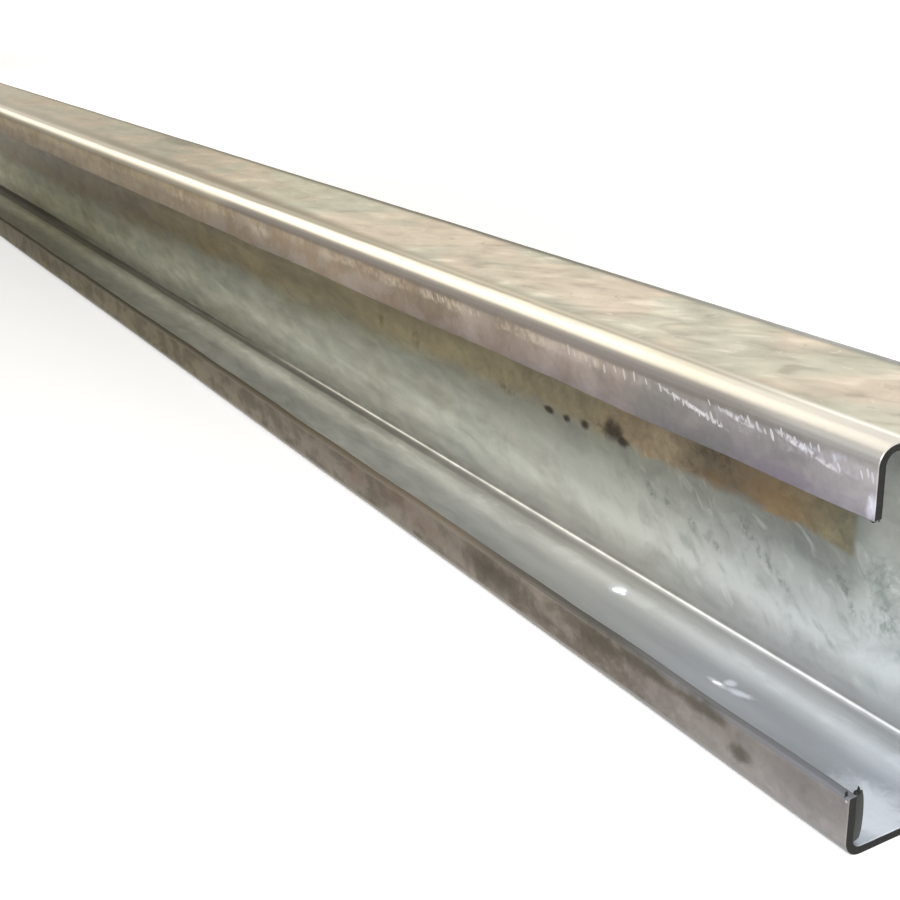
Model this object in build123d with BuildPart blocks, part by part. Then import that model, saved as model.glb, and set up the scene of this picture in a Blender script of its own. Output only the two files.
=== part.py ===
# Lipped C-section, cold rolled from one strip of steel and hot-dip galvanised, as one length of stock.
# It lies on its bottom flange with the web upright at the back (+Y) and the open side to the front (-Y).
# Origin: centre of the footprint on the floor. +X runs along the length, +Z up the web. Millimetres.

import os

from build123d import *

# Driving dimensions of the section, measured over the outside faces
web_depth = 120.0
flange_width = 60.0
lip_height = 20.0
wall = 3.0
inner_bend_radius = 3.0

# Stock length between the two square saw cuts
stock_length = 3000.0

# Rounding on the slit edges of the strip
slit_edge_radius = 0.5

# The outside of a bend is one wall larger than the inside
outer_bend_radius = inner_bend_radius + wall
lip_face = -flange_width / 2
web_face = flange_width / 2

with BuildPart() as c_section:
    with BuildSketch(Plane.YZ) as section:
        with BuildLine() as strip:
            # Outside of the folded strip, from the bottom lip's edge round to the top lip's edge
            FilletPolyline(
                (lip_face, lip_height),
                (lip_face, 0),
                (web_face, 0),
                (web_face, web_depth),
                (lip_face, web_depth),
                (lip_face, web_depth - lip_height),
                radius=outer_bend_radius,
            )
            # The wall stands inside that line and is closed across the strip's two edges
            offset(amount=wall, side=Side.LEFT)
        make_face()
    extrude(amount=stock_length / 2, both=True)

    # Counting the level faces from the floor up, the third and fourth are the slit edges of the lips
    slit_edges = c_section.faces().filter_by(Axis.Z).sort_by(Axis.Z)[2:4]
    fillet(slit_edges.edges().filter_by(Axis.X), radius=slit_edge_radius)

c_section.part.label = "c_section"

os.makedirs("parts", exist_ok=True)
export_step(c_section.part, "parts/c_section.step")
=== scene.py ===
import math
import random

import bpy
import numpy as np
from mathutils import Matrix, Vector, noise


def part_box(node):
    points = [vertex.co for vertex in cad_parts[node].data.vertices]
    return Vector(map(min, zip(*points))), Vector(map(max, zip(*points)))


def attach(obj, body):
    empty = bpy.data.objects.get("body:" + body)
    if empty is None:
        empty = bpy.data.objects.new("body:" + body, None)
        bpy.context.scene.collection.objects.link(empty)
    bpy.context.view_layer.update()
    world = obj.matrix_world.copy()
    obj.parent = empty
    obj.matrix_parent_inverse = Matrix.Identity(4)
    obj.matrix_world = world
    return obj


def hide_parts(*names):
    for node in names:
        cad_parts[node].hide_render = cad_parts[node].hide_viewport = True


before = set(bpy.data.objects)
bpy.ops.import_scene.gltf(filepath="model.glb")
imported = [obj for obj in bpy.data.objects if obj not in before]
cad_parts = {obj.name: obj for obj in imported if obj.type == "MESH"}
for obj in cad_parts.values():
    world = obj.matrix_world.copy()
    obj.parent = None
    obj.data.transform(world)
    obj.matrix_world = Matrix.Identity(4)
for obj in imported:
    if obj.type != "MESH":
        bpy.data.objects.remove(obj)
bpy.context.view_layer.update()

low, high = (Vector(corner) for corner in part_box("c_section"))
nearEnd = high.x  # the sawn end that the camera sees
stockLength = high.x - low.x
millimetre = 0.001
print("frame loaded, stock", round(stockLength, 3), "m long")


# small helpers for node trees

def srgb(red, green, blue):
    def linear(value):
        value /= 255
        return value / 12.92 if value <= 0.04045 else ((value + 0.055) / 1.055) ** 2.4
    return (linear(red), linear(green), linear(blue), 1.0)


def feed(tree, socket, value):
    if isinstance(value, bpy.types.NodeSocket):
        tree.links.new(value, socket)
    else:
        socket.default_value = value


def maths(tree, operation, first, second=0.0, third=0.0, clamp=False):
    node = tree.nodes.new("ShaderNodeMath")
    node.operation = operation
    node.use_clamp = clamp
    for socket, value in zip(node.inputs, (first, second, third)):
        feed(tree, socket, value)
    return node.outputs[0]


def mixColour(tree, factor, first, second, blend="MIX"):
    node = tree.nodes.new("ShaderNodeMix")
    node.data_type = "RGBA"
    node.blend_type = blend
    feed(tree, node.inputs[0], factor)
    feed(tree, node.inputs[6], first)
    feed(tree, node.inputs[7], second)
    return node.outputs[2]


def noiseValue(tree, vector, detail=3.0, rough=0.5, distortion=0.0):
    node = tree.nodes.new("ShaderNodeTexNoise")
    feed(tree, node.inputs["Vector"], vector)
    node.inputs["Scale"].default_value = 1.0
    node.inputs["Detail"].default_value = detail
    node.inputs["Roughness"].default_value = rough
    node.inputs["Distortion"].default_value = distortion
    return node.outputs[0]


def ramp(tree, factor, stops):
    node = tree.nodes.new("ShaderNodeValToRGB")
    node.color_ramp.interpolation = "EASE"
    elements = node.color_ramp.elements
    while len(elements) < len(stops):
        elements.new(0.5)
    for element, (place, colour) in zip(elements, sorted(stops, key=lambda stop: stop[0])):
        element.position = place
        element.color = colour
    feed(tree, node.inputs[0], factor)
    return node.outputs[0]


def span(tree, value, start, end):
    # 0 before start, 1 after end, smooth between them
    node = tree.nodes.new("ShaderNodeMapRange")
    node.interpolation_type = "SMOOTHSTEP"
    feed(tree, node.inputs[0], value)
    node.inputs[1].default_value = start
    node.inputs[2].default_value = end
    return node.outputs[0]


def zone(tree, value, start, end, soft):
    # 1 from start to end, and soft edges outside them
    rising = span(tree, value, start - soft, start)
    return maths(tree, "MULTIPLY", rising, span(tree, value, end + soft, end))


def newGroup(name, takes, gives):
    group = bpy.data.node_groups.new(name, "ShaderNodeTree")
    for label, kind in takes:
        group.interface.new_socket(name=label, in_out="INPUT", socket_type="NodeSocket" + kind)
    for label, kind in gives:
        group.interface.new_socket(name=label, in_out="OUTPUT", socket_type="NodeSocket" + kind)
    return group, group.nodes.new("NodeGroupInput"), group.nodes.new("NodeGroupOutput")


def useGroup(tree, group, **values):
    node = tree.nodes.new("ShaderNodeGroup")
    node.node_tree = group
    for label, value in values.items():
        feed(tree, node.inputs[label], value)
    return node


def addBump(tree, shader, height, strength, distance):
    node = tree.nodes.new("ShaderNodeBump")
    node.inputs["Strength"].default_value = strength
    node.inputs["Distance"].default_value = distance
    tree.links.new(height, node.inputs["Height"])
    tree.links.new(node.outputs[0], shader.inputs["Normal"])


def newMaterial(name):
    material = bpy.data.materials.new(name)
    material.use_nodes = True
    tree = material.node_tree
    return material, tree, tree.nodes["Principled BSDF"]


# the folded strip: outside line from the bottom lip's edge round to the top lip's edge

section = dict(
    lip=0.020,
    wall=0.003,
    innerBend=0.003,
    slitEdge=0.0005,
    bendSteps=9,
    flatSteps=(6, 16, 30, 16, 6),  # lip, flange, web, flange, lip
)
section["outerBend"] = section["innerBend"] + section["wall"]


def foldedStrip():
    front, back, floorLevel, top = low.y, high.y, low.z, high.z
    lip, bend = section["lip"], section["outerBend"]
    corners = [
        (front, floorLevel + lip), (front, floorLevel), (back, floorLevel),
        (back, top), (front, top), (front, top - lip),
    ]
    corners = [np.array(corner) for corner in corners]
    places, normals, across = [], [], []
    walked = 0.0
    for leg, steps in enumerate(section["flatSteps"]):
        start, end = corners[leg], corners[leg + 1]
        heading = (end - start) / np.linalg.norm(end - start)
        outward = np.array((heading[1], -heading[0]))
        begin = start + heading * (bend if leg else section["slitEdge"])
        finish = end - heading * (bend if leg < 4 else section["slitEdge"])
        run = np.linalg.norm(finish - begin)
        for step in range(steps + 1):
            share = step / steps
            places.append(begin + heading * run * share)
            normals.append(outward)
            across.append(walked + run * share)
        walked += run
        if leg == 4:
            break
        turned = (corners[leg + 2] - end) / np.linalg.norm(corners[leg + 2] - end)
        centre = end + (turned - heading) * bend
        middleArc = (bend - section["wall"] / 2) * math.pi / 2
        for step in range(1, section["bendSteps"]):
            angle = math.pi / 2 * step / section["bendSteps"]
            normal = outward * math.cos(angle) + heading * math.sin(angle)
            places.append(centre + normal * bend)
            normals.append(normal)
            across.append(walked + middleArc * step / section["bendSteps"])
        walked += middleArc
    return np.array(places), np.array(normals), np.array(across)


stripPlaces, stripNormals, stripAcross = foldedStrip()
stripWidth = stripAcross[-1]
print("strip unrolls to", round(stripWidth * 1000, 1), "mm")


def onStrip(across, outside):
    # place and normal in the section's plane, at one distance across the strip
    depth = 0.0 if outside else section["wall"]
    normal = np.array([np.interp(across, stripAcross, stripNormals[:, axis]) for axis in (0, 1)])
    normal /= np.linalg.norm(normal)
    place = np.array([np.interp(across, stripAcross, stripPlaces[:, axis]) for axis in (0, 1)])
    return place - normal * depth, normal * (1 if outside else -1)


# relief that hot dipping and rolling leave on the faces

relief = dict(
    waveHeight=0.00016, waveAlong=15.0, waveAcross=26.0,
    peelHeight=0.00006, peelAlong=95.0, peelAcross=120.0,
    # zinc run beside the lower inside corner
    runHeight=0.00018, runPlace=0.0600, runWidth=0.0050,
    # the top flange falls away softly before its front bend
    easeHeight=-0.00045, easePlace=0.2391, easeWidth=0.0030,
    swellShare=0.5, swellAlong=30.0,
    # the slit edges wander a little
    edgeWander=0.0005, edgeAlong=22.0, edgeAcross=3.0, edgeFade=0.008,
)


def reliefAt(along, across, outside):
    layer = 0.0 if outside else 4.7  # each side has its own waves
    wave = noise.noise((along * relief["waveAlong"], across * relief["waveAcross"], layer))
    peel = noise.noise((along * relief["peelAlong"], across * relief["peelAcross"], layer + 9.1))
    height = wave * relief["waveHeight"] + peel * relief["peelHeight"]
    name = "ease" if outside else "run"
    offset = (across - relief[name + "Place"]) / relief[name + "Width"]
    if abs(offset) < 4:
        swell = 1 + relief["swellShare"] * noise.noise((along * relief["swellAlong"], 2.2, layer))
        height += relief[name + "Height"] * swell * math.exp(-offset * offset)
    return height


def stripMark(along, across, outside):
    # what the finishes read: millimetres along and across the strip, and 1 on the inside
    return along / millimetre, across / millimetre, 0.0 if outside else 1.0


skin = dict(
    firstStep=0.0015, growth=1.0064, endEdge=0.00025, sharpDegrees=38,
    tipAngles=(30, 60, 90),  # points on each rounded corner of a slit edge
    lipFaces=(0.0144, 0.2449),  # the bottom lip ends and the top lip starts here, across the strip
    slots=dict(outside=0, inside=1, sawn=2, lips=3),
)


def stationsAlong():
    # close together at the near end, wider towards the far end
    places = [0.0, skin["endEdge"]]
    step = skin["firstStep"]
    while places[-1] + step < stockLength - skin["endEdge"] - step / 2:
        places.append(places[-1] + step)
        step *= skin["growth"]
    places += [stockLength - skin["endEdge"], stockLength]
    return places


def sectionOutline():
    # closed line of (place, normal, distance across, outside), with the slit edges rounded
    edge = section["slitEdge"]
    outline = []
    for place, normal, across in zip(stripPlaces, stripNormals, stripAcross):
        outline.append((place, normal, across, True))
    for tip in (-1, 0):
        normal = stripNormals[tip]
        heading = np.array((-normal[1], normal[0])) * (1 if tip == -1 else -1)
        outer = stripPlaces[tip] - normal * edge
        inner = stripPlaces[tip] - normal * (section["wall"] - edge)
        sides = ((outer, normal), (inner, -normal)) if tip == -1 else ((inner, -normal), (outer, normal))
        for number, (centre, side) in enumerate(sides):
            angles = skin["tipAngles"] if number == 0 else skin["tipAngles"][::-1]
            for turn in map(math.radians, angles):
                turned = side * math.cos(turn) + heading * math.sin(turn)
                outline.append((centre + turned * edge, turned, stripAcross[tip], side is normal))
        if tip == -1:
            for place, normal, across in zip(stripPlaces[::-1], stripNormals[::-1], stripAcross[::-1]):
                outline.append((place - normal * section["wall"], -normal, across, False))
    return outline


def newPiece(name, points, strips, faces, materials, sharpDegrees):
    mesh = bpy.data.meshes.new(name)
    mesh.from_pydata(points, [], faces)
    mesh.validate()
    mesh.attributes.new("strip", "FLOAT_VECTOR", "POINT").data.foreach_set("vector", np.ravel(strips))
    for material in materials:
        mesh.materials.append(material)
    mesh.shade_smooth()
    mesh.set_sharp_from_angle(angle=math.radians(sharpDegrees))
    piece = bpy.data.objects.new(name, mesh)
    bpy.context.collection.objects.link(piece)
    return piece


def finishSlot(across, outside):
    # the slit edges go with the lips
    bottomLip, topLip = skin["lipFaces"]
    if outside:
        return skin["slots"]["lips" if across < bottomLip or across > topLip else "outside"]
    return skin["slots"]["lips" if across in (stripAcross[0], stripAcross[-1]) else "inside"]


flatMap = dict(
    lengths=(0.0, 0.7, 1.7),  # the stock is laid out in lengths that start here
    rowHeight=0.295, edge=0.004,
    capLevel=0.90, capScale=1.5, farCap=0.5,  # the sawn ends lie over the lengths
)


def layFlat(piece, outline, stations, sideFaces):
    # a flat map for baking: lengths of the stock one above another, and the sawn ends over them
    mesh = piece.data
    places = np.array([place for place, normal, across, outside in outline])
    around = np.linalg.norm(np.roll(places, -1, axis=0) - places, axis=1).cumsum()
    around = np.concatenate(([0.0], around)) / around[-1]
    rows, edge, rowHeight = len(stations) - 1, flatMap["edge"], flatMap["rowHeight"]
    starts = [int(np.searchsorted(stations, begin)) for begin in flatMap["lengths"]] + [rows]
    flat = np.empty((rows, len(outline), 4, 2))
    for number, (first, last) in enumerate(zip(starts, starts[1:])):
        reach = np.array(stations[first:last + 1]) - stations[first]
        reach = edge + reach / reach[-1] * (1 - 2 * edge)
        level = edge + number * rowHeight + around * (rowHeight - 2 * edge)
        for corner, (step, turn) in enumerate(((0, 0), (0, 1), (1, 1), (1, 0))):
            flat[first:last, :, corner, 0] = reach[step:len(reach) - 1 + step, None]
            flat[first:last, :, corner, 1] = level[None, turn:len(outline) + turn]
    caps = []
    scale = flatMap["capScale"]
    for polygon in list(mesh.polygons)[sideFaces:]:
        for vertex in polygon.vertices:
            x, y, z = mesh.vertices[vertex].co
            start = edge if x > 0 else flatMap["farCap"]
            caps.append((start + (z - low.z) * scale, flatMap["capLevel"] + (y - low.y) * scale))
    layer = mesh.uv_layers.new(name="OFBake")
    layer.data.foreach_set("uv", np.concatenate((flat.reshape(-1, 2), np.array(caps))).ravel())


def buildSkin(materials):
    outline = sectionOutline()
    stations = stationsAlong()
    count = len(outline)
    points, strips = [], []
    for number, along in enumerate(stations):
        last = number in (0, len(stations) - 1)
        for place, normal, across, outside in outline:
            height = reliefAt(along, across, outside) - (skin["endEdge"] if last else 0.0)
            sway = noise.noise((along * relief["edgeAlong"], across * relief["edgeAcross"], 0.4))
            fade = max(0.0, 1 - min(across, stripWidth - across) / relief["edgeFade"])
            rise = relief["edgeWander"] * sway * fade * (1 if across < stripWidth / 2 else -1)
            y, z = place + normal * height
            points.append((nearEnd - along, y, z + rise))
            strips.append(stripMark(along, across, outside))
    faces = []
    for row in range(len(stations) - 1):
        for column in range(count):
            after = (column + 1) % count
            here, there = row * count, (row + 1) * count
            faces.append((here + column, here + after, there + after, there + column))
    sideFaces = len(faces)
    tipPoints = 2 * len(skin["tipAngles"])
    inner = len(stripPlaces) + tipPoints  # first point of the inside line
    for first, flip in ((0, False), ((len(stations) - 1) * count, True)):
        for column in range(len(stripPlaces) - 1):
            far = inner + len(stripPlaces) - 1 - column
            quad = [first + column, first + far, first + far - 1, first + column + 1]
            faces.append(tuple(reversed(quad)) if flip else tuple(quad))
        tipSteps = range(tipPoints + 2)
        topTip = [first + len(stripPlaces) - 1 + step for step in tipSteps]
        bottomTip = [first + (inner + len(stripPlaces) - 1 + step) % count for step in tipSteps]
        for tip in (topTip, bottomTip):
            faces.append(tuple(tip) if flip else tuple(reversed(tip)))
    piece = newPiece("galvanised_skin", points, strips, faces, materials, skin["sharpDegrees"])
    ring = [finishSlot(across, outside) for place, normal, across, outside in outline]
    slots = ring * (len(stations) - 1)
    slots += [skin["slots"]["sawn"]] * (len(piece.data.polygons) - sideFaces)
    piece.data.polygons.foreach_set("material_index", slots)
    layFlat(piece, outline, stations, sideFaces)
    return piece


# drops, ripples and burrs: low domes that stand on the strip

domeSunk = 0.12 * millimetre  # a dome's rim stands this deep in the face
domeSharp = 60


def addDome(
    store, along, across, outside, halfAlong, halfAcross, rise, lean=0.0, rings=4, spokes=12, fullness=2,
):
    place, normal = onStrip(across, outside)
    base = Vector((nearEnd - along, *(place + normal * reliefAt(along, across, outside))))
    up = Vector((0.0, *normal))
    alongAxis = Vector((-1.0, 0.0, 0.0))
    acrossAxis = alongAxis.cross(up).normalized()
    turn = Matrix.Rotation(lean, 3, up)
    alongAxis, acrossAxis = turn @ alongAxis, turn @ acrossAxis
    points, strips, faces = store
    first = len(points)
    points.append(tuple(base + up * rise))
    for ring in range(1, rings + 1):
        share = ring / rings
        height = rise * (1 - share ** fullness) ** (1 / fullness) - (domeSunk if ring == rings else 0.0)
        for spoke in range(spokes):
            angle = 2 * math.pi * spoke / spokes
            out = alongAxis * halfAlong * math.cos(angle) + acrossAxis * halfAcross * math.sin(angle)
            points.append(tuple(base + out * share + up * height))
    strips += [stripMark(along, across, outside)] * (rings * spokes + 1)
    for spoke in range(spokes):
        after = (spoke + 1) % spokes
        faces.append((first, first + 1 + spoke, first + 1 + after))
        for ring in range(rings - 1):
            here, there = first + 1 + ring * spokes, first + 1 + (ring + 1) * spokes
            faces.append((here + spoke, there + spoke, there + after, here + after))
    faces.append(tuple(first + 1 + (rings - 1) * spokes + spoke for spoke in reversed(range(spokes))))


ripples = dict(
    seed=11,
    # rows along the top lip, just under its bend: start, end, place across at both, pitch; millimetres
    rows=(
        (20, 34, 247.4, 246.7, 2.6), (37, 67, 247.4, 246.6, 3.4), (57, 86, 251.2, 247.3, 2.6),
        (91, 108, 247.4, 248.0, 4.4), (112, 136, 248.4, 247.5, 4.6), (188, 232, 248.3, 248.1, 6.0),
    ),
    halfAlong=0.00055, halfAcross=0.0016, rise=0.00006, lean=0.45,
    # how much they differ
    sizes=(0.55, 1.25), stretches=(0.7, 1.3), rises=(0.5, 1.2), pitches=(0.6, 1.4),
    strayAcross=0.35, strayLean=0.15,
    # long drips at the sawn end: distance along, middle across, half length; millimetres
    drips=(
        (1.6, 248.6, 1.9), (3.2, 247.8, 1.5), (5.2, 248.9, 1.5), (1.9, 254.8, 1.7), (1.2, 257.2, 1.0),
        (14.5, 247.6, 1.4), (12.8, 249.4, 1.6), (0.9, 0.9, 0.5),
    ),
    dripWidths=(0.7, 1.1), dripRise=1.2, dripLeans=(0.2, 0.6), dripSpokes=16,
)


def buildRipples(material):
    draw = random.Random(ripples["seed"])
    store = ([], [], [])
    for start, end, acrossStart, acrossEnd, pitch in ripples["rows"]:
        along = start
        while along < end:
            size = draw.uniform(*ripples["sizes"])
            across = acrossStart + (acrossEnd - acrossStart) * (along - start) / (end - start)
            across += draw.gauss(0, ripples["strayAcross"])
            addDome(
                store, along * millimetre, across * millimetre, True,
                ripples["halfAlong"] * size,
                ripples["halfAcross"] * size * draw.uniform(*ripples["stretches"]),
                ripples["rise"] * draw.uniform(*ripples["rises"]),
                lean=ripples["lean"] + draw.gauss(0, ripples["strayLean"]),
            )
            along += pitch * draw.uniform(*ripples["pitches"])
    for along, across, halfLength in ripples["drips"]:  # drawn after the rows
        addDome(
            store, along * millimetre, across * millimetre, True,
            ripples["halfAlong"] * draw.uniform(*ripples["dripWidths"]), halfLength * millimetre,
            ripples["rise"] * ripples["dripRise"], lean=draw.uniform(*ripples["dripLeans"]),
            spokes=ripples["dripSpokes"],
        )
    return newPiece("zinc_ripples", *store, [material], domeSharp)


specks = dict(
    # bottom flange: distance along, row Y, half length, half width, lean; millimetres and radians
    flange=(
        (159.8, 13.0, 3.3, 2.6, 0.3), (156.4, 12.2, 1.3, 0.9, 0.0), (86.8, -0.9, 2.0, 0.55, 0.25),
    ),
    rise=0.0005, rings=5, spokes=16,
    # small ones scattered over the underside and the back; sizes in millimetres, places in metres
    seed=4, strays=40, sizes=(0.25, 0.8), stretches=(0.8, 1.8), strayRise=0.35,
    inset=0.01, strayAcross=(0.020, 0.180), leans=(0, 3),
)


def flangeAcross(rowY):
    # distance across the strip of a place on the bottom flange
    start = section["lip"] - section["outerBend"] - section["slitEdge"]
    start += (section["outerBend"] - section["wall"] / 2) * math.pi / 2
    return start + rowY - (low.y + section["outerBend"])


def buildSpecks(material):
    store = ([], [], [])
    for along, rowY, halfLength, halfWidth, lean in specks["flange"]:
        addDome(
            store, along * millimetre, flangeAcross(rowY * millimetre), False,
            halfLength * millimetre, halfWidth * millimetre, specks["rise"], lean,
            rings=specks["rings"], spokes=specks["spokes"],
        )
    draw = random.Random(specks["seed"])
    for stray in range(specks["strays"]):
        size = draw.uniform(*specks["sizes"]) * millimetre
        along = draw.uniform(specks["inset"], stockLength - specks["inset"])
        across = draw.uniform(*specks["strayAcross"])
        halfAlong = size * draw.uniform(*specks["stretches"])
        lean = draw.uniform(*specks["leans"])
        addDome(store, along, across, True, halfAlong, size, size * specks["strayRise"], lean)
    return newPiece("zinc_specks", *store, [material], domeSharp)


burrs = dict(
    # fins that the saw left on the near end, in millimetres:
    # inset from the end, row Y, row Z, half widths along X and Y, rise
    fins=(
        (0.8, -25.9, 20.4, 0.5, 0.7, 1.8), (1.6, -29.4, 20.0, 0.5, 0.6, 1.4),
        (1.6, -28.4, 100.0, 1.3, 1.1, -1.1), (0.6, -27.6, 100.0, 0.5, 0.6, -0.7),
    ),
    sunk=0.6, rings=6, spokes=10, seed=8,
    taper=0.7, tip=0.08, drifts=(-0.12, 0.12), ragged=(0.85, 1.15), sharpDegrees=50,
)


def buildBurrs(material):
    draw = random.Random(burrs["seed"])
    points, strips, faces = [], [], []
    spokes = burrs["spokes"]
    for inset, rowY, rowZ, halfX, halfY, rise in burrs["fins"]:
        first = len(points)
        direction = 1 if rise > 0 else -1
        base = rowZ - direction * burrs["sunk"]
        for ring in range(burrs["rings"]):
            share = ring / (burrs["rings"] - 1)
            width = (1 - share) ** burrs["taper"] + burrs["tip"]
            height = base + (rise + direction * burrs["sunk"]) * share
            drift = draw.uniform(*burrs["drifts"]) * share
            for spoke in range(spokes):
                angle = 2 * math.pi * spoke / spokes * direction
                ragged = width * draw.uniform(*burrs["ragged"])
                x = -inset + halfX * ragged * math.cos(angle) + drift
                y = rowY + halfY * ragged * math.sin(angle) + drift
                points.append((nearEnd + x * millimetre, y * millimetre, height * millimetre))
        across = 0.0 if rise > 0 else stripWidth / millimetre
        strips += [(inset, across, 0.0)] * (burrs["rings"] * spokes)
        for ring in range(burrs["rings"] - 1):
            here, there = first + ring * spokes, first + (ring + 1) * spokes
            for spoke in range(spokes):
                after = (spoke + 1) % spokes
                faces.append((here + spoke, here + after, there + after, there + spoke))
        faces.append(tuple(first + spoke for spoke in reversed(range(spokes))))
        faces.append(tuple(first + (burrs["rings"] - 1) * spokes + spoke for spoke in range(spokes)))
    return newPiece("sawn_burrs", points, strips, faces, [material], burrs["sharpDegrees"])


bead = dict(
    # burr inside the bottom lip's sawn end, in millimetres
    along=1.0, across=7.0, halfLength=1.0, halfHeight=8.6, rise=3.2,
)


def buildBead(material):
    store = ([], [], [])
    along, across, halfLength, halfHeight, rise = (value * millimetre for value in bead.values())
    addDome(store, along, across, False, halfLength, halfHeight, rise, rings=10, spokes=24, fullness=5)
    return newPiece("lip_bead", *store, [material], domeSharp)


# finishes; all places on the strip are in millimetres

def measured(tree, vector, lengths, degrees=0.0):
    # turned on the face, then counted in these lengths
    node = tree.nodes.new("ShaderNodeMapping")
    node.vector_type = "TEXTURE"
    feed(tree, node.inputs["Vector"], vector)
    node.inputs["Rotation"].default_value = (0, 0, math.radians(degrees))
    node.inputs["Scale"].default_value = lengths
    return node.outputs[0]


def times(tree, *values):
    product = values[0]
    for value in values[1:]:
        product = maths(tree, "MULTIPLY", product, value)
    return product


def tinge(tree, colour, tone, share, *masks):
    # mixes a tone in, where the masks say
    return mixColour(tree, times(tree, *masks, share), colour, srgb(*tone))


def uneven(tree, colour, value, contrast, mask):
    # lighter and darker with a noise value, about the same mean
    swing = times(tree, maths(tree, "SUBTRACT", value, 0.5), contrast, mask)
    return mixColour(tree, 1.0, colour, maths(tree, "ADD", swing, 1.0), "MULTIPLY")


def toned(tree, colour, value, tones, mask):
    # each tone has its share, and where in the noise value it starts and is full
    for tone, share, edges in tones:
        colour = tinge(tree, colour, tone, share, span(tree, value, *edges), mask)
    return colour


def alongRamp(tree, along, stops, readTone):
    reach = maths(tree, "DIVIDE", along, stockLength / millimetre)
    return ramp(tree, reach, [(at * millimetre / stockLength, readTone(tone)) for at, tone in stops])


def writtenColour(tone):
    return srgb(*tone)


def linearShare(tone):
    return (*tone, 1.0)


faceZones = dict(
    # where each face lies across the strip, its soft edge, and 1 for the inside
    bottomLip=(1.2, 14, 0.8, 0),
    back=(22, 184, 5, 0),
    topFlange=(194, 233, 3, 0),
    frontBend=(237, 242.5, 1.5, 0),
    topLip=(246, 262, 1.5, 0),
    bottomFlange=(21, 67, 4, 1),
    lowCorner=(71, 74, 2, 1),
    web=(80, 182, 5, 1),
)


farMarks = (160, 480)  # the marks change over this stretch


def nearAndFar(tree, on, near, far):
    # one noise by the sawn end, another further along
    share = span(tree, on["along"], *farMarks)
    return maths(tree, "MULTIPLY_ADD", maths(tree, "SUBTRACT", far, near), share, near)


def stripCoordinates(tree):
    node = tree.nodes.new("ShaderNodeAttribute")
    node.attribute_name = "strip"
    split = tree.nodes.new("ShaderNodeSeparateXYZ")
    tree.links.new(node.outputs["Vector"], split.inputs[0])
    on = dict(zip(("along", "across", "inside"), split.outputs))
    on["place"] = node.outputs["Vector"]
    on["outside"] = maths(tree, "SUBTRACT", 1.0, on["inside"])
    on["dirt"] = 0.0
    for name, (start, end, soft, side) in faceZones.items():
        across = zone(tree, on["across"], start, end, soft)
        on[name] = times(tree, across, on["inside" if side else "outside"])
    return on


zincMarks = dict(
    # each noise: lengths along, across and between the sides, slant in degrees, detail, roughness, distortion
    Patch=((46, 27, 0.2), 0, 4, 0.6, 0.6),
    Cloud=((23, 15, 0.2), 0, 5, 0.62, 0.35),
    Drift=((120, 17, 0.2), 2, 4, 0.55, 0.3),
    Stroke=((13, 6.5, 0.2), 48, 3, 0.5, 0.6),
    Fleck=((24, 6.5, 0.2), 4, 3, 0.55, 0.5),
    Lump=((5.6, 5.2, 0.2), 0, 3, 0.6, 0.7),
    Grain=((1.1, 1.1, 0.2), 0, 2, 0.6, 0.0),
)


def zincMottleGroup():
    gives = [(name, "Float") for name in zincMarks]
    group, into, out = newGroup("zincMottle", (("Strip", "Vector"),), gives)
    for name, (lengths, slant, detail, rough, distortion) in zincMarks.items():
        place = measured(group, into.outputs["Strip"], lengths, slant)
        value = noiseValue(group, place, detail=detail, rough=rough, distortion=distortion)
        group.links.new(value, out.inputs[name])
    return group


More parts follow.
